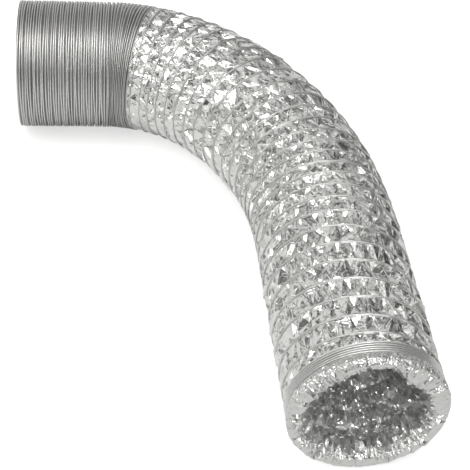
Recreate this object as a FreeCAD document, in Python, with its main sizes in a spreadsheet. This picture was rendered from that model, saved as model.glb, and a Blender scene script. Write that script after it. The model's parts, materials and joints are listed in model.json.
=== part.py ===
import FreeCAD, Part
import math
import os

# Flexible foil air duct: two foil plies with one left-handed spring wire between them.
# Part of it is still closed up as a pack, the rest is pulled out and curves through a right angle.
# Own frame, in millimetres: origin at the centre of the inlet opening, +X into the duct,
# +Z up, and the duct bends towards -Y while it lies flat.

os.makedirs("parts", exist_ok=True)
doc = FreeCAD.newDocument("flexible_duct")

DRIVING = {
    "bore_r": 75.5,
    "ply": 0.4,
    "wire_r": 0.6,
    "wire_path_r": 76.95,
    "pack_pitch": 3.1,
    "pack_turns": 36,
    "outer_ply_r": 77.9,
    "fold_height": 0.5,
    "fan_groups": 4,
    "fan_step": 11.25,
    "fan_yaw": 4.0,
    "fan_coil_turns": 3,
    "fan_coil_pitch": 1.4,
    "mean_pitch": 22.0,
    "pitch_wave": 4.0,
    "wave_start": 5.5,
    "wave_turns": 15,
    "bend_yaw": 71.3,
    "bend_turns": 20,
    "bend_power": 1.63,
    "neck_r": 74.3,
    "tuck": 1.0,
    "bay_gap": 0.3,
    "neck_room": 5.0,
    "end_gap": 0.012,
    "gather_turns": 4,
    "gather_pitch": 2.6,
    "gather_start": 3.0,
    "mouth_length": 28.0,
    "lip_r": 1.3,
    "lip_clearance": 0.05,
}
sheet = doc.addObject("Spreadsheet::Sheet", "params")
for row, (alias, value) in enumerate(DRIVING.items(), start=1):
    sheet.set("A%d" % row, alias)
    sheet.set("B%d" % row, str(value))
    sheet.setAlias("B%d" % row, alias)
doc.recompute()
V = {alias: float(sheet.get(alias)) for alias in DRIVING}

# Each turn of a faceted wire has this many straight lengths, each with this many sides.
WIRE_LENGTHS = 48
WIRE_SIDES = 6
# Number of straight steps round the outside of the turned-over lip.
LIP_STEPS = 6

# How many wire turns each rigid link of the pulled-out length carries, from the pack outwards.
LINK_TURNS = [1] * 8 + [2] * 6 + [1] * 8

DOWN = FreeCAD.Vector(0, 0, -1)
exported = []


def turn_pitch(turn):
    """Spacing of one pulled-out turn: uneven, as hand pulling leaves it."""
    phase = 2 * math.pi * (turn - V["wave_start"]) / V["wave_turns"]
    return V["mean_pitch"] + V["pitch_wave"] * math.sin(phase)


def heading_at(turn):
    """Heading in degrees at a (fractional) number of turns past the pack's fan."""
    fan = V["fan_groups"] * V["fan_yaw"]
    left = max(0.0, 1 - turn / V["bend_turns"])
    return -(fan + V["bend_yaw"] * (1 - left ** V["bend_power"]))


def build_path():
    """Straight segments end to end: the pack, the fan groups, the pulled-out links and the mouth."""
    segments = [(V["pack_pitch"] * V["pack_turns"], 0.0)]
    for group in range(1, int(V["fan_groups"]) + 1):
        segments.append((V["fan_step"], -V["fan_yaw"] * group))
    turn = 0
    for count in LINK_TURNS:
        length = sum(turn_pitch(turn + i + 1) for i in range(count))
        segments.append((length, heading_at(turn + count / 2)))
        turn += count
    segments.append((V["mouth_length"], segments[-1][1]))
    return segments


def direction(degrees):
    return FreeCAD.Vector(math.cos(math.radians(degrees)), math.sin(math.radians(degrees)), 0)


SEGMENTS = build_path()
CENTRES = [FreeCAD.Vector(0, 0, 0)]
for length, heading in SEGMENTS:
    CENTRES.append(CENTRES[-1] + direction(heading) * length)


def frame_at(index):
    """Placement of a segment: local Z along the duct and local X straight down."""
    along = direction(SEGMENTS[index][1])
    turn = FreeCAD.Rotation(DOWN, along.cross(DOWN), along, "ZXY")
    return FreeCAD.Placement(CENTRES[index], turn)


def half_yaw(index):
    """Half the change of heading at the plane where segment index starts, in degrees."""
    if index <= 0 or index >= len(SEGMENTS):
        return 0.0
    return (SEGMENTS[index][1] - SEGMENTS[index - 1][1]) / 2


def keep(obj, node, placement):
    obj.Label = node
    obj.Placement = placement
    exported.append((node, obj))


def circle(name, radius, distance, tilt):
    """Section circle on the duct axis, tipped about the vertical by tilt degrees."""
    ring = doc.addObject("Part::Circle", name)
    ring.setExpression("Radius", radius)
    centre = FreeCAD.Vector(0, 0, distance)
    ring.Placement = FreeCAD.Placement(centre, FreeCAD.Rotation(FreeCAD.Vector(-1, 0, 0), tilt))
    return ring


def loft(name, start_radius, end_radius, index):
    """Tapered solid of a segment, its two ends parallel to the planes between the segments."""
    end = SEGMENTS[index][0] - V["bay_gap"]
    body = doc.addObject("Part::Loft", name)
    body.Sections = [
        circle(name + "_a", start_radius, -V["tuck"], -half_yaw(index)),
        circle(name + "_b", end_radius, end, half_yaw(index + 1)),
    ]
    body.Solid = True
    body.Ruled = True
    return body


def foil_sleeve(node, index):
    """Thin foil sleeve whose narrow start is tucked into the wide end of the one before it."""
    ply = " + params.ply"
    cut = doc.addObject("Part::Cut", node)
    cut.Base = loft(node + "_skin", "params.neck_r" + ply, "params.bore_r" + ply, index)
    cut.Tool = loft(node + "_hollow", "params.neck_r", "params.bore_r", index)
    keep(cut, node, frame_at(index))


def along_axis(index, distance):
    """Placement of a segment moved along the duct by a distance."""
    place = frame_at(index)
    shift = place.Rotation.multVec(FreeCAD.Vector(0, 0, distance))
    return FreeCAD.Placement(place.Base + shift, place.Rotation)


def packed_coil(node, index, pitch, turns, start):
    """Left-handed round wire of many close turns, swept along a helix from the bottom."""
    helix = doc.addObject("Part::Helix", node + "_line")
    helix.LocalCoord = 1
    helix.SegmentLength = 0
    helix.setExpression("Radius", "params.wire_path_r")
    helix.setExpression("Pitch", "params." + pitch)
    helix.setExpression("Height", "params.%s * (%s - params.end_gap)" % (pitch, turns))
    ring = doc.addObject("Part::Circle", node + "_section")
    ring.setExpression("Radius", "params.wire_r")
    tangent = FreeCAD.Vector(0, -2 * math.pi * V["wire_path_r"], V[pitch])
    at = FreeCAD.Vector(V["wire_path_r"], 0, 0)
    ring.Placement = FreeCAD.Placement(at, FreeCAD.Rotation(FreeCAD.Vector(0, 0, 1), tangent))
    doc.recompute()
    sweep = doc.addObject("Part::Sweep", node)
    sweep.Sections = [ring]
    sweep.Spine = (helix, ["Edge%d" % (i + 1) for i in range(len(helix.Shape.Edges))])
    sweep.Solid = True
    sweep.Frenet = True
    keep(sweep, node, along_axis(index, start))


def wire_section(turned_by, pitch):
    """Corners of the wire's section after turning by an angle from the bottom."""
    radial = FreeCAD.Vector(math.cos(turned_by), -math.sin(turned_by), 0)
    rise = pitch * turned_by / (2 * math.pi)
    middle = radial * V["wire_path_r"] + FreeCAD.Vector(0, 0, rise)
    corners = []
    for side in range(WIRE_SIDES):
        angle = 2 * math.pi * side / WIRE_SIDES
        out = radial * (V["wire_r"] * math.cos(angle))
        corners.append(middle + out + FreeCAD.Vector(0, 0, V["wire_r"] * math.sin(angle)))
    return corners


def coil(node, index, pitch, turns, start=0.0):
    """Left-handed wire of a few turns, as a faceted solid.

    A swept short helix makes surfaces that mesh a hundred times finer than this.
    """
    count = int(WIRE_LENGTHS * turns)
    sweep = 2 * math.pi * (turns - V["end_gap"])
    sections = [wire_section(sweep * i / count, pitch) for i in range(count + 1)]
    faces = [Part.Face(Part.makePolygon(ends + ends[:1])) for ends in (sections[0], sections[-1])]
    for near, far in zip(sections[:-1], sections[1:]):
        for side in range(WIRE_SIDES):
            following = (side + 1) % WIRE_SIDES
            a, b, c, d = near[side], near[following], far[following], far[side]
            faces.append(Part.Face(Part.makePolygon([a, b, c, a])))
            faces.append(Part.Face(Part.makePolygon([a, c, d, a])))
    shell = Part.makeShell(faces)
    shell.sewShape()
    solid = Part.makeSolid(shell)
    if solid.Volume < 0:
        solid.reverse()
    wire = doc.addObject("Part::Feature", node)
    wire.Shape = solid
    keep(wire, node, along_axis(index, start))


def tube(name, radius, length):
    """Plain cylinder along the duct, used for the round walls."""
    body = doc.addObject("Part::Cylinder", name)
    body.setExpression("Radius", radius)
    body.Height = length
    return body


def round_sleeve(node, index, start, length):
    """Foil sleeve with a true cylindrical wall, where a spigot goes in."""
    cut = doc.addObject("Part::Cut", node)
    cut.Base = tube(node + "_skin", "params.bore_r + params.ply", length)
    cut.Tool = tube(node + "_hollow", "params.bore_r", length)
    keep(cut, node, along_axis(index, start))


def turned(node, index, profile):
    """Solid of revolution about the duct axis from (radius, distance) points."""
    wire = doc.addObject("Part::Polygon", node + "_profile")
    wire.Nodes = [FreeCAD.Vector(r, 0, z) for r, z in profile]
    wire.Close = True
    solid = doc.addObject("Part::Revolution", node)
    solid.Source = wire
    solid.Axis = FreeCAD.Vector(0, 0, 1)
    solid.Base = FreeCAD.Vector(0, 0, 0)
    solid.Angle = 360
    solid.Solid = True
    keep(solid, node, frame_at(index))


# The closed pack: inner ply, closely wound wire, and the outer ply folded between the turns.
pack_length = SEGMENTS[0][0]
edge = V["wire_r"]
# the ply stops short of the narrow neck that the first fan sleeve tucks into the pack
round_sleeve("pack_inner_foil", 0, 0.0, pack_length - V["neck_room"])
packed_coil("pack_wire_coil", 0, "pack_pitch", int(V["pack_turns"]) - 2, V["pack_pitch"])
inner_face = V["outer_ply_r"]
valley = inner_face + V["ply"]
folds = [(inner_face, edge / 2), (valley, edge / 2)]
for fold in range(int(V["pack_turns"])):
    crest_at = (fold + 0.5) * V["pack_pitch"]
    folds.append((valley + V["fold_height"], crest_at))
    folds.append((valley, min(crest_at + V["pack_pitch"] / 2, pack_length - edge)))
folds.append((inner_face, pack_length - edge))
turned("pack_outer_foil", 0, folds)

# The fan: groups of nearly closed turns that start the bend and pull out first.
for group in range(1, int(V["fan_groups"]) + 1):
    coil_length = V["fan_coil_pitch"] * (V["fan_coil_turns"] - V["end_gap"])
    margin = (V["fan_step"] - coil_length) / 2
    coil("fan_wire_%d" % group, group, V["fan_coil_pitch"], int(V["fan_coil_turns"]), margin)
    foil_sleeve("fan_foil_%d" % group, group)

# The pulled-out length: one wire node and one foil bay node for each link.
first_link = int(V["fan_groups"]) + 1
turn = 0
for link, count in enumerate(LINK_TURNS):
    index = first_link + link
    label = "%02d" % (turn + 1) if count == 1 else "%02d_%02d" % (turn + 1, turn + count)
    coil("wire_turn_" + label, index, SEGMENTS[index][0] / count, count)
    if link < len(LINK_TURNS) - 1:
        foil_sleeve("foil_bay_" + label, index)
    turn += count

# The mouth: a round sleeve through the last turn, gathered end turns, and the turned-over lip.
last = len(SEGMENTS) - 2
mouth = len(SEGMENTS) - 1
sleeve_length = SEGMENTS[last][0] + V["mouth_length"] - V["lip_r"] - V["bay_gap"]
round_sleeve("mouth_foil_sleeve", last, V["bay_gap"], sleeve_length)
coil("end_wire_turns", mouth, V["gather_pitch"], int(V["gather_turns"]), V["gather_start"])
skin = V["outer_ply_r"] + V["ply"]
hem = V["bore_r"] + V["ply"] + V["lip_clearance"]
tip = V["mouth_length"]
lip = [(V["outer_ply_r"], V["gather_start"] / 2), (skin, V["gather_start"] / 2)]
for step in range(LIP_STEPS + 1):
    angle = math.pi / 2 * step / LIP_STEPS
    round_at = (skin - V["lip_r"], tip - V["lip_r"])
    rise = (V["lip_r"] * math.cos(angle), V["lip_r"] * math.sin(angle))
    lip.append((round_at[0] + rise[0], round_at[1] + rise[1]))
lip.append((hem, tip))
lip.append((hem, tip - V["ply"]))
lip.append((V["outer_ply_r"], tip - V["ply"] - V["lip_r"]))
turned("mouth_lip", mouth, lip)

doc.recompute()
problems = []
for obj in doc.Objects:
    if "Invalid" in obj.State or "Error" in obj.State:
        problems.append("%s %s" % (obj.Name, obj.State))
for node, obj in exported:
    if obj.Shape.isNull() or not obj.Shape.isValid():
        problems.append(node + " has no valid shape")
    elif len(obj.Shape.Solids) != 1:
        problems.append("%s has %d solids" % (node, len(obj.Shape.Solids)))
    else:
        obj.Shape.exportStep("parts/%s.step" % node)
if problems:
    raise RuntimeError("; ".join(problems))
print("exported", len(exported), "nodes")
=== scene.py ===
import json
import math

import bmesh
import bpy
import numpy as np
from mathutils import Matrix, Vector

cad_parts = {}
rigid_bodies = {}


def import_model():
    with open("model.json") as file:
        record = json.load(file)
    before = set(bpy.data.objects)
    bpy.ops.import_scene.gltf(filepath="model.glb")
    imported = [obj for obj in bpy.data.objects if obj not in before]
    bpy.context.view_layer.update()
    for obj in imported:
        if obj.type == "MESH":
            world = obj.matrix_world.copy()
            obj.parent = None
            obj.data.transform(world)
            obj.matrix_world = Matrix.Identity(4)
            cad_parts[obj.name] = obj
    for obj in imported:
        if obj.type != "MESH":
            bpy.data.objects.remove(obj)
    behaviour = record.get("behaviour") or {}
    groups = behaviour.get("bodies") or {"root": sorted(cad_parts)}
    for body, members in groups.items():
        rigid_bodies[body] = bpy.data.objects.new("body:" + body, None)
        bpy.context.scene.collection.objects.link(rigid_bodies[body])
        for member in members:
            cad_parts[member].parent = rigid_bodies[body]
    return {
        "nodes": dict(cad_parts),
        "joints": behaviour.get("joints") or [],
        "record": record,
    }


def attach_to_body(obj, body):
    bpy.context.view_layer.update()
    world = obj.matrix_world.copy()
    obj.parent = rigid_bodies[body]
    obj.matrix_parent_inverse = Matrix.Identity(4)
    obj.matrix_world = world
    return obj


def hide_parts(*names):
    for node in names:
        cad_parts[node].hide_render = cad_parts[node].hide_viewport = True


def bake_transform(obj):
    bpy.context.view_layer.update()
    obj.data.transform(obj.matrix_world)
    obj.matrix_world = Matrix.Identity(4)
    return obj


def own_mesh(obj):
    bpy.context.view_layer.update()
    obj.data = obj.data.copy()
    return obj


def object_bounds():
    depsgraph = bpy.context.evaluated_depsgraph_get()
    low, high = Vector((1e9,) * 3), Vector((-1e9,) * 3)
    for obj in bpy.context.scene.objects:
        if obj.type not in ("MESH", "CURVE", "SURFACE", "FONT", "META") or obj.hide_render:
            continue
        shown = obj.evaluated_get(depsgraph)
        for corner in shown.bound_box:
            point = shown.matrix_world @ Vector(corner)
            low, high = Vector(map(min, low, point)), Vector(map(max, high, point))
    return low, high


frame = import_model()
cad_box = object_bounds()
rng = np.random.default_rng(11)

MM = 0.001
WIRE_R = 0.6          # bare wire, as in the CAD model
RIDGE_PATH_R = 77.5   # centre line of the foil-covered wire
RIDGE_R = 0.95        # half thickness of the foil-covered wire
SKIN_R = 76.9         # foil where it is glued to the wire
PACK_TURNS = 36       # closed turns of the rigid pack
FAN_TURNS = 12        # closed turns that fan out into the bend
GATHER_TURNS = 4      # closed turns behind the mouth
GATHER_PITCH = 2.7
GATHER_START = 3.0    # from the last open turn to the first gathered one
PACK_SWAY = 0.33      # how far closed turns stray from even spacing
OPEN_FROM = -1        # turns are counted from the bend; from this one on the foil is pulled out

FACET_MEAN = -1.0     # how far the foil sags below the wire between turns
FACET_DEPTH = 2.9     # height of the large facets above and below that
CREASE_SPREADS = (0.36, 0.09)   # random lift of the points that each refinement adds
LINING_GAP = 1.0      # the inner ply lies this far inside the outer one
LINING_SPREADS = (2.4, 1.3)     # the same for the inner ply, always inwards
LIP_SPREAD = 0.3      # the same for the lip
PACK_FOLD_DEPTH = 3.6
GATHER_FOLD_DEPTH = 2.6

# ---------------------------------------------------------------- the duct's centre line


def unique_points(node):
    """Vertices of a CAD node in millimetres, each place once."""
    mesh = frame["nodes"][node].data
    co = np.zeros(len(mesh.vertices) * 3, np.float32)
    mesh.vertices.foreach_get("co", co)
    return np.unique(np.round(co.reshape(-1, 3) / MM, 2), axis=0)


groups = frame["record"]["behaviour"]["bodies"]
joint_to = {j["child"]: j for j in frame["joints"]}
next_body = {j["parent"]: j["child"] for j in frame["joints"]}
bodies = [next(b for b in groups if b not in joint_to)]
while bodies[-1] in next_body:
    bodies.append(next_body[bodies[-1]])
count = len(bodies)


def node_with(body, word):
    return next(n for n in groups[body] if word in n)


planes = [None] * (count + 1)
planes[0] = np.zeros(3)
for i, body in enumerate(bodies):
    if i and joint_to[body]["type"] == "hinge":
        planes[i] = np.array(joint_to[body]["pos_m"], float) / MM
hinged = [i for i in range(1, count) if planes[i] is not None]
for i in range(hinged[0] - 1, 0, -1):
    centre = unique_points(node_with(bodies[i], "foil")).mean(axis=0)
    planes[i] = 2 * centre - planes[i + 1]
straight_from = hinged[-1]
axis = np.array(joint_to[bodies[-1]]["axis"], float)
for i in range(straight_from + 1, count):
    reach = (unique_points(node_with(bodies[i], "wire_turn")) - planes[straight_from]) @ axis
    planes[i] = planes[straight_from] + axis * (reach.min() + WIRE_R)
reach = (unique_points("mouth_lip") - planes[straight_from]) @ axis
planes[count] = planes[straight_from] + axis * reach.max()
planes = np.array(planes)
planes[:, 2] = 0

step = np.diff(planes, axis=0)
lengths = np.linalg.norm(step, axis=1)
stations = np.concatenate([[0], np.cumsum(lengths)])
segment_yaw = np.unwrap(np.arctan2(step[:, 1], step[:, 0]))
plane_yaw = np.concatenate([segment_yaw[:1], (segment_yaw[1:] + segment_yaw[:-1]) / 2, segment_yaw[-1:]])

# stations of whole turns, from the start of the pack to the mouth
first_turn = -FAN_TURNS - PACK_TURNS
turn_knots = [(first_turn - 1, 0.0), (first_turn, 0.0), (-FAN_TURNS, stations[1])]
first_link = next(i for i, b in enumerate(bodies) if b.startswith("link"))
turn = 0
for i in range(first_link, count):
    turn_knots.append((turn, stations[i]))
    name = node_with(bodies[i], "wire_turn")
    turn += 1 + name[10:].count("_")
last_turn = turn
wire_end = (unique_points(node_with(bodies[-1], "wire_turn")) - planes[count - 1]) @ axis
mouth_start = stations[count - 1] + wire_end.max()
lip_start = mouth_start + GATHER_START + GATHER_TURNS * GATHER_PITCH
turn_knots.append((last_turn, mouth_start))
for k in range(GATHER_TURNS + 1):
    turn_knots.append((last_turn + 1 + k, mouth_start + GATHER_START + k * GATHER_PITCH))
end_turn = last_turn + 1 + GATHER_TURNS
turn_knots.append((end_turn + 1, lip_start))
knot_turns = np.array([k[0] for k in turn_knots], float)
knot_stations = np.array([k[1] for k in turn_knots], float)


def station(turns):
    """Station of a point on the wire; the closed turns lie slightly unevenly."""
    turns = np.asarray(turns, float)
    loose = np.clip(turns - first_turn, 0, 1) * np.clip(-turns, 0, 1)
    sway = np.sin(8.7 * turns) + np.sin(16.9 * turns + 2) + 0.7 * np.sin(27.1 * turns + 1)
    return np.interp(turns, knot_turns, knot_stations) + PACK_SWAY * loose * sway


def yaw_at(s):
    return np.interp(s, stations, plane_yaw)


def centre_at(s):
    """Smooth centre line through the planes, at stations s (array)."""
    s = np.clip(np.asarray(s, float), stations[0], stations[-1] + 20)
    i = np.clip(np.searchsorted(stations, s, side="right") - 1, 0, count - 1)
    u = ((s - stations[i]) / lengths[i])[:, None]
    a, b = planes[i], planes[i + 1]
    ta = np.stack([np.cos(plane_yaw[i]), np.sin(plane_yaw[i]), 0 * s], axis=1) * lengths[i][:, None]
    tb = np.stack([np.cos(plane_yaw[i + 1]), np.sin(plane_yaw[i + 1]), 0 * s], axis=1) * lengths[i][:, None]
    inside = (2 * u**3 - 3 * u**2 + 1) * a + (u**3 - 2 * u**2 + u) * ta
    inside += (3 * u**2 - 2 * u**3) * b + (u**3 - u**2) * tb
    beyond = b + (u - 1) * tb
    return np.where(u > 1, beyond, inside)


def to_space(s, turns, r):
    """Points in metres from station, turn angle (0 at the bottom, then the inner side) and radius."""
    s = np.asarray(s, float)
    yaw = yaw_at(s)
    angle = 2 * math.pi * np.asarray(turns, float)
    r = np.asarray(r, float)
    inner = np.stack([np.sin(yaw), -np.cos(yaw), 0 * s], axis=1)
    out = centre_at(s) + (r * np.sin(angle))[:, None] * inner
    out[:, 2] -= r * np.cos(angle)
    return out * MM


# ---------------------------------------------------------------- materials


def new_material(name):
    material = bpy.data.materials.new(name)
    material.use_nodes = True
    tree = material.node_tree
    shader = tree.nodes["Principled BSDF"]
    return material, tree, shader


def add_node(tree, kind, **inputs):
    node = tree.nodes.new(kind)
    for key, value in inputs.items():
        node.inputs[key].default_value = value
    return node


CRUMPLE_SHARE = 0.45  # height of the soft crumple next to the sharp creases


def foil_material(name, tint, roughness, bump, fine, coarse, metal=1.0):
    """Bright foil: metal with a soft crumple, sharp small creases, dull patches and slight colour drift."""
    material, tree, shader = new_material(name)
    links = tree.links
    where = tree.nodes.new("ShaderNodeNewGeometry")
    crumple = add_node(tree, "ShaderNodeTexNoise", Scale=coarse, Detail=3.0, Roughness=0.55)
    grain = add_node(tree, "ShaderNodeTexNoise", Scale=fine, Detail=2.0, Roughness=0.6)
    cells = add_node(tree, "ShaderNodeTexVoronoi", Scale=coarse)
    cells.feature = "DISTANCE_TO_EDGE"
    for texture in (crumple, grain, cells):
        links.new(where.outputs["Position"], texture.inputs["Vector"])
    groove = tree.nodes.new("ShaderNodeMapRange")
    groove.inputs["From Max"].default_value = 0.09
    groove.inputs["To Max"].default_value = 0.6
    links.new(cells.outputs["Distance"], groove.inputs["Value"])
    height = tree.nodes.new("ShaderNodeMath")
    height.operation = "MULTIPLY_ADD"
    height.inputs[1].default_value = CRUMPLE_SHARE
    links.new(crumple.outputs["Fac"], height.inputs[0])
    links.new(groove.outputs["Result"], height.inputs[2])
    bumps = add_node(tree, "ShaderNodeBump", Strength=bump, Distance=0.001)
    links.new(height.outputs[0], bumps.inputs["Height"])
    links.new(bumps.outputs["Normal"], shader.inputs["Normal"])
    dull = tree.nodes.new("ShaderNodeMapRange")
    dull.inputs["To Min"].default_value = roughness * 0.75
    dull.inputs["To Max"].default_value = roughness * 1.45
    links.new(grain.outputs["Fac"], dull.inputs["Value"])
    links.new(dull.outputs["Result"], shader.inputs["Roughness"])
    ramp = tree.nodes.new("ShaderNodeValToRGB")
    ramp.color_ramp.elements[0].position = 0.3
    ramp.color_ramp.elements[0].color = (tint[0] * 0.86, tint[1] * 0.86, tint[2] * 0.855, 1)
    ramp.color_ramp.elements[1].position = 0.7
    ramp.color_ramp.elements[1].color = (*tint, 1)
    links.new(crumple.outputs["Fac"], ramp.inputs["Fac"])
    links.new(ramp.outputs["Color"], shader.inputs["Base Color"])
    shader.inputs["Metallic"].default_value = metal
    return material


foil = foil_material("crinkled foil", (0.96, 0.96, 0.955), 0.09, 0.13, 900.0, 120.0)
# Painted shade: the folded foil of the pack and the gathered turns is darkened to tint 0.4, so its grooves
# look shaded.
pack_foil_painted_shade = foil_material("folded foil darkened as painted shade", (0.4, 0.4, 0.4), 0.35, 0.12, 1400.0, 300.0)
ridge_foil = foil_material("foil over closed wire", (0.84, 0.84, 0.835), 0.3, 0.12, 900.0, 260.0)
# Painted shade: the foil over the open wire is darkened to tint 0.72, so the ridges read grey instead of
# white under the overhead light.
open_ridge_foil_painted_shade = foil_material("foil over open wire darkened as painted shade", (0.72, 0.72, 0.715), 0.34, 0.12, 900.0, 260.0)
inside_foil = foil_material("foil inside", (0.97, 0.97, 0.965), 0.06, 0.6, 900.0, 150.0, 0.72)
# Painted shade: the foil at the mouth is darkened to tint 0.74 to tone down the fill lamp's light on the lip.
mouth_foil_painted_shade = foil_material("foil at the mouth darkened as painted shade", (0.74, 0.74, 0.735), 0.14, 0.25, 900.0, 170.0, 0.85)

# ---------------------------------------------------------------- mesh building


class Sheet:
    """A mesh under construction in (station, turns, radius) space, in millimetres and turns."""

    def __init__(self):
        self.points = []
        self.faces = []

    def add(self, s, turns, r):
        start = sum(len(p) for p in self.points)
        columns = [np.asarray(values, float) for values in (s, turns, r)]
        self.points.append(np.stack(columns, axis=1))
        return start + np.arange(len(s))

    def all_points(self):
        return np.concatenate(self.points)


def triangles_between(low, high):
    """Triangles between two rows of equal length, the second half a column ahead."""
    a, b, c, d = low[:-1], low[1:], high[:-1], high[1:]
    return [np.stack([a, b, c], axis=1), np.stack([b, d, c], axis=1)]


def refine(points, faces, lift):
    """Splits every triangle in four and lifts or sinks each new point, which breaks up flat facets."""
    edges = np.sort(np.concatenate([faces[:, [0, 1]], faces[:, [1, 2]], faces[:, [2, 0]]]), axis=1)
    pairs, back = np.unique(edges, axis=0, return_inverse=True)
    back = np.asarray(back).reshape(-1)
    middle = (points[pairs[:, 0]] + points[pairs[:, 1]]) / 2
    middle[:, 2] += lift(points[pairs[:, 0]], points[pairs[:, 1]])
    total = len(faces)
    first = len(points)
    ab, bc, ca = back[:total] + first, back[total:2 * total] + first, back[2 * total:] + first
    a, b, c = faces.T
    parts = [(a, ab, ca), (ab, b, bc), (ca, bc, c), (ab, bc, ca)]
    return np.concatenate([points, middle]), np.concatenate([np.stack(p, axis=1) for p in parts])


COLUMNS = 60       # large creases round one turn of the pulled-out foil
FULL_PITCH = 20.0  # spacing of the turns at which the facets reach their full height


def stretched_skin():
    """Pulled-out foil: large triangular facets from wire to wire, each broken up by smaller creases.

    The inner ply follows the same facets a little further in and is more crumpled.
    """
    sheet = Sheet()
    total = (last_turn + 1) * COLUMNS
    index = np.arange(total + COLUMNS + 1)
    slip = rng.uniform(-0.3, 0.3, len(index))
    slip[::COLUMNS] = 0
    turns = (index + slip) / COLUMNS - 1
    low, high = np.arange(total + 1), np.arange(total + 1) + COLUMNS
    glued = np.full(total + 1, SKIN_R)
    wire = sheet.add(station(turns[low]), turns[low], glued)
    next_wire = sheet.add(station(turns[high]), turns[high] - 1, glued)
    at = (low + 0.5 + rng.uniform(-0.3, 0.3, total + 1)) / COLUMNS - 1
    across = np.where(low % 2, 0.74, 0.26) + rng.uniform(-0.16, 0.16, total + 1)
    s0, s1 = station(at), station(at + 1)
    sign = np.where(low % 2, 1, -1)
    sign = np.where(rng.random(total + 1) < 0.25, -sign, sign)
    room = np.clip((s1 - s0) / FULL_PITCH, 0.15, 1.3)
    depth = FACET_MEAN + FACET_DEPTH * room * sign * rng.uniform(0.4, 1.25, total + 1)
    middle = sheet.add(s0 + across * (s1 - s0), at, SKIN_R + depth)
    faces = triangles_between(wire, middle)
    a, b, c, d = middle[:-1], middle[1:], next_wire[:-1], next_wire[1:]
    faces += [np.stack([a, b, d], axis=1), np.stack([a, d, c], axis=1)]
    coarse, coarse_faces = sheet.all_points(), np.concatenate(faces)
    points, faces = coarse, coarse_faces
    for spread in CREASE_SPREADS:

        def lift(p, q, spread=spread):
            on_wire = (p[:, 2] == SKIN_R) & (q[:, 2] == SKIN_R)
            return np.where(on_wire, 0, rng.normal(-0.1, spread, len(p)))

        points, faces = refine(points, faces, lift)
    lining, lining_faces = coarse - (0, 0, LINING_GAP), coarse_faces
    for spread in LINING_SPREADS:

        def sink(p, q, spread=spread):
            on_wire = (p[:, 2] == SKIN_R - LINING_GAP) & (q[:, 2] == SKIN_R - LINING_GAP)
            return np.where(on_wire, 0, -np.abs(rng.normal(0, spread, len(p))))

        lining, lining_faces = refine(lining, lining_faces, sink)
    return points, faces, lining, lining_faces


PACK_COLUMNS = 90  # columns round one turn of the closed foil
CREST_R = 77.75    # crests of the closed folds


def folded_skin(first, final, depth):
    """Closed-up foil: one narrow fold between each pair of neighbouring wire turns."""
    sheet = Sheet()
    total = int(final - first) * PACK_COLUMNS
    index = np.arange(total + PACK_COLUMNS + 1)
    turns = first + index / PACK_COLUMNS
    wire_s = station(turns)
    low = np.arange(total + 1)
    high = low + PACK_COLUMNS
    crest = np.full(total + 1, CREST_R)
    spread = np.hanning(17)
    deep = 0.75 + 0.08 * np.convolve(rng.normal(0, 1, total + 17), spread, "valid")
    rows = [sheet.add(wire_s[low], turns[low], crest)]
    for across, share in ((0.22, 0.35), (0.5, 1.0), (0.78, 0.35)):
        s = wire_s[low] + across * (wire_s[high] - wire_s[low])
        rows.append(sheet.add(s, turns[low], CREST_R - depth * share * deep))
    rows.append(sheet.add(wire_s[high], turns[low], crest))
    faces = []
    for near, far in zip(rows[:-1], rows[1:]):
        faces.append(np.stack([near[:-1], near[1:], far[1:], far[:-1]], axis=1))
    return sheet.all_points(), np.concatenate(faces)


WRAP = 0.6  # how far the foil wraps round below the widest part of the wire, in radians


def wire_ridge(first, final):
    """Foil drawn tight over the wire from one turn to another: a round ridge along a left-handed spring."""
    per_turn, steps = 60, 8
    turns = np.arange(first * per_turn, final * per_turn + 1) / per_turn
    closed = np.clip(-turns, 0, 1) - 1.5 * np.clip(turns - last_turn, 0, 1)
    radius = RIDGE_R + closed * (0.06 + 0.05 * np.sin(19.3 * turns) + 0.05 * np.sin(7.1 * turns))
    sheet = Sheet()
    rows = []
    for k in range(steps + 1):
        angle = -WRAP + (math.pi + 2 * WRAP) * k / steps
        s = np.clip(station(turns) - radius * math.cos(angle), 0, None)
        rows.append(sheet.add(s, turns, RIDGE_PATH_R + radius * math.sin(angle)))
    faces = []
    for near, far in zip(rows[:-1], rows[1:]):
        faces.append(np.stack([near[:-1], near[1:], far[1:], far[:-1]], axis=1))
    return sheet.all_points(), np.concatenate(faces)


LIP_COLUMNS = 180     # columns round the mouth
THROAT_ROW = 8        # rows of the lip from here on lie inside the mouth


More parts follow.
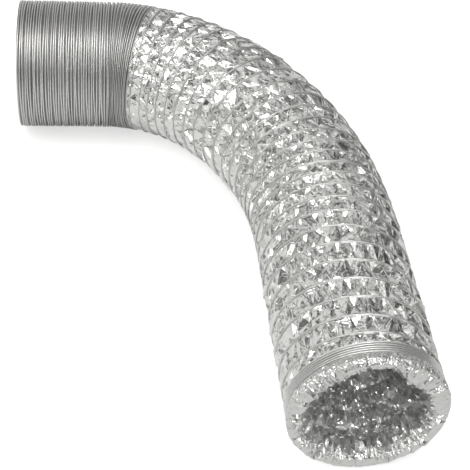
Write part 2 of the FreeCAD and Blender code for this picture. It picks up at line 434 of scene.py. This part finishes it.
def lip_skin():
    """Foil beyond the last turn: rounds over the end and crumples inwards to a ragged edge."""
    sheet = Sheet()
    column = np.arange(LIP_COLUMNS + 1)

    def around(spread):
        """Random numbers round the mouth that meet where the columns close."""
        values = rng.normal(0, spread, LIP_COLUMNS)
        return np.append(values, values[0])

    tucked = 0.35 * np.sin(2 * math.pi * (column / LIP_COLUMNS) * 3 + 1.0) + around(0.1)
    flap = np.exp(-((column / LIP_COLUMNS - 0.60) / 0.045) ** 2)
    crease = around(1.0)
    crease = crease * np.where(np.abs(crease) > 1.1, 1.5, 0.2)
    # Each row of the lip: distance beyond the last turn, radius, roughness, and how far it is bent in.
    profile = (
        (0.0, CREST_R, 0.0, 0.0),
        (2.2, 78.3, 0.12, 0.0),
        (5.4, 78.9, 0.18, 0.0),
        (8.2, 78.8, 0.25, 0.0),
        (11.4, 76.9, 0.5, 0.1),
        (13.4, 73.4, 1.0, 0.35),
        (14.0, 69.4, 1.2, 0.6),
        (13.0, 65.8, 1.2, 0.85),
        (9.5, 62.8, 0.9, 1.0),
        (3.0, 61.6, 2.2, 0.8),
        (-5.0, 62.8, 3.4, 0.5),
        (-13.0, 64.6, 3.2, 0.2),
        (-19.0, 67.6, 2.2, 0.0),
        (-23.5, 71.6, 1.0, 0.0),
    )
    rows = []
    for k, (along, radius, rough, inward) in enumerate(profile):
        shift = (0.5 * (k % 2) if k > 8 else 0.0) + around(0.16) * (k > 0)
        facing = min(1.0, max(0.0, (k - 3) / 3)) if k < 9 else 0.0
        fold = rough * (0.9 * crease if k < 9 else around(1.0))
        s = lip_start + along + facing * fold + around(0.6 * rough) * (k > 8)
        r = radius - inward * (9.6 * tucked + 9.0 * flap) + (1 - facing) * fold * (k > 0)
        rows.append(sheet.add(s, end_turn + (column + shift) / LIP_COLUMNS, r))
    faces, in_throat = [], []
    for k, (near, far) in enumerate(zip(rows[:-1], rows[1:])):
        a, b, c, d = near[:-1], near[1:], far[:-1], far[1:]
        if k % 2 == 0:
            faces += [np.stack([a, b, c], axis=1), np.stack([b, d, c], axis=1)]
        else:
            faces += [np.stack([a, b, d], axis=1), np.stack([a, d, c], axis=1)]
        in_throat += [k >= THROAT_ROW] * 2 * LIP_COLUMNS
    return sheet.all_points(), np.concatenate(faces), np.array(in_throat)


# ---------------------------------------------------------------- cutting into pieces


middles = [(stations[i] + stations[i + 1]) / 2 for i in range(count)]
middles[0] = stations[1] - (stations[2] - stations[1]) / 2
middles[-1] = (stations[count - 1] + mouth_start) / 2
pieces = [[] for _ in range(count + 1)]


def place(name, points, faces, material, smooth=False, weld=0.02):
    """Cuts a (station, turns, radius) mesh at the middle of every body and makes an object of each length."""
    mesh = bpy.data.meshes.new("work")
    mesh.from_pydata((points * (1, 100, 1)).tolist(), [], faces.tolist())
    bm = bmesh.new()
    bm.from_mesh(mesh)
    bpy.data.meshes.remove(mesh)
    for cut in middles:
        crossing = []
        for face in bm.faces:
            along = [v.co.x for v in face.verts]
            if min(along) < cut < max(along):
                crossing.append(face)
        if not crossing:
            continue
        geometry = set(crossing)
        for face in crossing:
            geometry.update(face.edges)
            geometry.update(face.verts)
        bmesh.ops.bisect_plane(bm, geom=list(geometry), dist=1e-6, plane_co=(cut, 0, 0), plane_no=(1, 0, 0))
    bm.verts.ensure_lookup_table()
    bm.verts.index_update()
    flat = np.array([v.co for v in bm.verts])
    solid = to_space(flat[:, 0], flat[:, 1] / 100, flat[:, 2])
    chosen = [[] for _ in range(count + 1)]
    for face in bm.faces:
        ids = [v.index for v in face.verts]
        chosen[int(np.searchsorted(middles, flat[ids, 0].mean()))].append(ids)
    bm.free()
    for number, part in enumerate(chosen):
        if not part:
            continue
        used = sorted({i for ids in part for i in ids})
        new_index = {old: new for new, old in enumerate(used)}
        data = bpy.data.meshes.new("%s_%02d" % (name, number))
        data.from_pydata(solid[used].tolist(), [], [[new_index[i] for i in ids] for ids in part])
        work = bmesh.new()
        work.from_mesh(data)
        bmesh.ops.remove_doubles(work, verts=work.verts, dist=weld * MM)
        bmesh.ops.dissolve_degenerate(work, edges=work.edges, dist=0.01 * MM)
        bmesh.ops.recalc_face_normals(work, faces=work.faces)
        work.to_mesh(data)
        work.free()
        for polygon in data.polygons:
            polygon.use_smooth = smooth
        obj = bpy.data.objects.new(data.name, data)
        bpy.context.scene.collection.objects.link(obj)
        data.materials.append(material)
        attach(obj, number)
        pieces[number].append(obj)


OUTER_R = 80.0  # a little more than the duct's largest radius


def attach(obj, number):
    """Fixes the end lengths, and lengths behind a push_back joint, to a body; other lengths only get their
    transform baked and stay unattached. number counts the cuts at the bodies' middles.
    """
    if number == 0 or number == count:
        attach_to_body(obj, bodies[0] if number == 0 else bodies[-1])
        return
    before, after = bodies[number - 1], bodies[number]
    joint = joint_to[after]
    low, high = middles[number - 1], middles[number]
    ends = centre_at([low, high])
    if joint["name"].startswith("push_back"):
        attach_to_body(obj, before)
        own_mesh(obj)
        return
    lean = abs(yaw_at(high) - yaw_at(low)) / 2
    inset = min(OUTER_R * math.sin(lean) + 0.3, (high - low) * 0.4)
    ends = centre_at([low + inset, high - inset])
    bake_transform(obj)


def lip_lift(p, q):
    """How far a new point of the lip is lifted: not at all where the lip meets the last turn."""
    at_start = (p[:, 0] == lip_start) & (q[:, 0] == lip_start)
    return np.where(at_start, 0, rng.normal(0, LIP_SPREAD, len(p)))


skin, skin_faces, lining, lining_faces = stretched_skin()
place("foil", skin, skin_faces, foil)
place("lining", lining, lining_faces, inside_foil)
place("folds", *folded_skin(first_turn - 1, OPEN_FROM, PACK_FOLD_DEPTH), pack_foil_painted_shade, smooth=True)
place("gathered", *folded_skin(last_turn, end_turn, GATHER_FOLD_DEPTH), pack_foil_painted_shade, smooth=True)
for name, first, final, material in (
    ("ridge_closed", first_turn, OPEN_FROM, ridge_foil),
    ("ridge_open", OPEN_FROM, last_turn, open_ridge_foil_painted_shade),
    ("ridge_end", last_turn, end_turn, ridge_foil),
):
    place(name, *wire_ridge(first, final), material, smooth=True, weld=0.005)
lip, lip_faces, in_throat = lip_skin()
lip, lip_faces = refine(lip, lip_faces, lip_lift)
in_throat = np.tile(in_throat, len(lip_faces) // len(in_throat))
place("lip", lip, lip_faces[~in_throat], mouth_foil_painted_shade)
place("throat", lip, lip_faces[in_throat], inside_foil)

# ---------------------------------------------------------------- hide every CAD node of the bodies

for i, body in enumerate(bodies):
    for node in groups[body]:
        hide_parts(node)

# ---------------------------------------------------------------- stage, light and camera

WORLD_STRENGTH = 1.6
FILL_POWER = 75.0
FILL_PLACE = (0.6, -2.1, 1.0)  # in front of the mouth, above and to its right
FLOOR_LIFT = 0.55      # extra brightness of the floor where the camera sees it directly

low_point = min(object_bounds()[0][2], cad_box[0][2])
bpy.ops.mesh.primitive_plane_add(size=60, location=(0, 0, low_point - 0.0005))
floor = bpy.context.object
floor.name = "floor"
material, tree, shader = new_material("pale floor")
shader.inputs["Base Color"].default_value = (0.85, 0.85, 0.85, 1)
shader.inputs["Roughness"].default_value = 0.8
shader.inputs["Specular IOR Level"].default_value = 0.1
seen = tree.nodes.new("ShaderNodeLightPath")
lift_share = tree.nodes.new("ShaderNodeMath")
lift_share.operation = "MULTIPLY"
lift_share.inputs[1].default_value = FLOOR_LIFT
tree.links.new(seen.outputs["Is Camera Ray"], lift_share.inputs[0])
shader.inputs["Emission Color"].default_value = (1, 1, 1, 1)
tree.links.new(lift_share.outputs[0], shader.inputs["Emission Strength"])
floor.data.materials.append(material)

fill = bpy.data.lights.new("fill", "SPOT")
fill.shadow_soft_size = 0.3
fill.spot_size = math.radians(14)
fill.spot_blend = 0.6
fill.energy = FILL_POWER
fill_lamp = bpy.data.objects.new("fill", fill)
bpy.context.scene.collection.objects.link(fill_lamp)
fill_lamp.location = FILL_PLACE
mouth = Vector(centre_at([stations[-1]])[0] * MM)
fill_lamp.rotation_euler = (mouth - fill_lamp.location).to_track_quat("-Z", "Y").to_euler()

world = bpy.data.worlds.new("studio")
bpy.context.scene.world = world
world.use_nodes = True
tree = world.node_tree
links = tree.links


def world_math(operation, *values):
    node = tree.nodes.new("ShaderNodeMath")
    node.operation = operation
    for socket, value in zip(node.inputs, values):
        if isinstance(value, (int, float)):
            socket.default_value = value
        else:
            links.new(value, socket)
    return node.outputs[0]


def world_ramp(value, stops):
    ramp = tree.nodes.new("ShaderNodeValToRGB")
    ramp.color_ramp.interpolation = "EASE"
    while len(ramp.color_ramp.elements) < len(stops):
        ramp.color_ramp.elements.new(0.5)
    for element, (position, level) in zip(ramp.color_ramp.elements, stops):
        element.position = position
        element.color = (level, level, level * 0.99, 1)
    links.new(value, ramp.inputs["Fac"])
    return ramp.outputs["Color"]


# The studio as a function of the angle over the top: 0 is the horizon in front, 90 overhead, 180 behind.
# Each stop is an angle and a brightness.
OVER_THE_TOP = (
    (-180, 0.4), (-8, 0.5), (2, 0.3), (12, 0.19), (24, 0.26), (34, 0.45), (42, 0.8), (56, 1.0),
    (66, 1.5), (80, 1.8), (90, 1.15), (100, 0.52), (124, 0.34), (180, 0.34),
)
PANEL_SCALE = 4.0  # soft panels and gaps that break up the studio's light
PANEL_DARK, PANEL_BRIGHT = 0.35, 1.65
# From the far left, -1, to the far right, 1.
SIDEWAYS = ((-1.0, 1.0), (-0.25, 0.85), (0.25, 0.8), (0.6, 0.34), (1.0, 0.25))
coordinates = tree.nodes.new("ShaderNodeTexCoord")
split = tree.nodes.new("ShaderNodeSeparateXYZ")
links.new(coordinates.outputs["Generated"], split.inputs[0])
toward_viewer = world_math("MULTIPLY", split.outputs["Y"], -1.0)
over = world_math("ARCTAN2", split.outputs["Z"], toward_viewer)
over_share = world_math("ADD", world_math("DIVIDE", over, 2 * math.pi), 0.5)
level = world_ramp(over_share, [((a + 180) / 360, v) for a, v in OVER_THE_TOP])
side_share = world_math("ADD", world_math("MULTIPLY", split.outputs["X"], 0.5), 0.5)
side = world_ramp(side_share, [((x + 1) / 2, v) for x, v in SIDEWAYS])
mix = tree.nodes.new("ShaderNodeMix")
mix.data_type = "RGBA"
mix.blend_type = "MULTIPLY"
mix.inputs["Factor"].default_value = 1.0
links.new(level, mix.inputs["A"])
links.new(side, mix.inputs["B"])
panels = add_node(tree, "ShaderNodeTexNoise", Scale=PANEL_SCALE, Detail=0.0)
links.new(coordinates.outputs["Generated"], panels.inputs["Vector"])
contrast = tree.nodes.new("ShaderNodeMapRange")
contrast.inputs["From Min"].default_value = 0.4
contrast.inputs["From Max"].default_value = 0.6
contrast.inputs["To Min"].default_value = PANEL_DARK
contrast.inputs["To Max"].default_value = PANEL_BRIGHT
links.new(panels.outputs["Fac"], contrast.inputs["Value"])
patched = tree.nodes.new("ShaderNodeMix")
patched.data_type = "RGBA"
patched.blend_type = "MULTIPLY"
patched.inputs["Factor"].default_value = 1.0
links.new(mix.outputs["Result"], patched.inputs["A"])
links.new(contrast.outputs["Result"], patched.inputs["B"])
background = tree.nodes["Background"]
links.new(patched.outputs["Result"], background.inputs["Color"])
background.inputs["Strength"].default_value = WORLD_STRENGTH

camera_data = bpy.data.cameras.new("camera")
camera = bpy.data.objects.new("camera", camera_data)
bpy.context.scene.collection.objects.link(camera)
bpy.context.scene.camera = camera
PICTURE_PX = 470
LENS_PX = 1248.4       # focal length, in the same unit as the picture's width above
camera_data.sensor_width = 36
camera_data.lens = 36 * LENS_PX / PICTURE_PX
ELEVATION, AZIMUTH, ROLL = 0.7315, -0.1103, 0.0772  # radians
DISTANCE = 1.3552
target = Vector((0.2506, -0.3212, 0))
away = Vector((
    math.sin(AZIMUTH) * math.cos(ELEVATION),
    -math.cos(AZIMUTH) * math.cos(ELEVATION),
    math.sin(ELEVATION),
))
camera.location = target + away * DISTANCE
forward = -away
right = forward.cross(Vector((0, 0, 1))).normalized()
up = right.cross(forward)
right, up = (
    right * math.cos(ROLL) + up * math.sin(ROLL),
    up * math.cos(ROLL) - right * math.sin(ROLL),
)
basis = camera.matrix_world.copy()
for row in range(3):
    basis[row][0], basis[row][1], basis[row][2] = right[row], up[row], -forward[row]
    basis[row][3] = camera.location[row]
camera.matrix_world = basis
bpy.context.scene.view_settings.view_transform = "Standard"
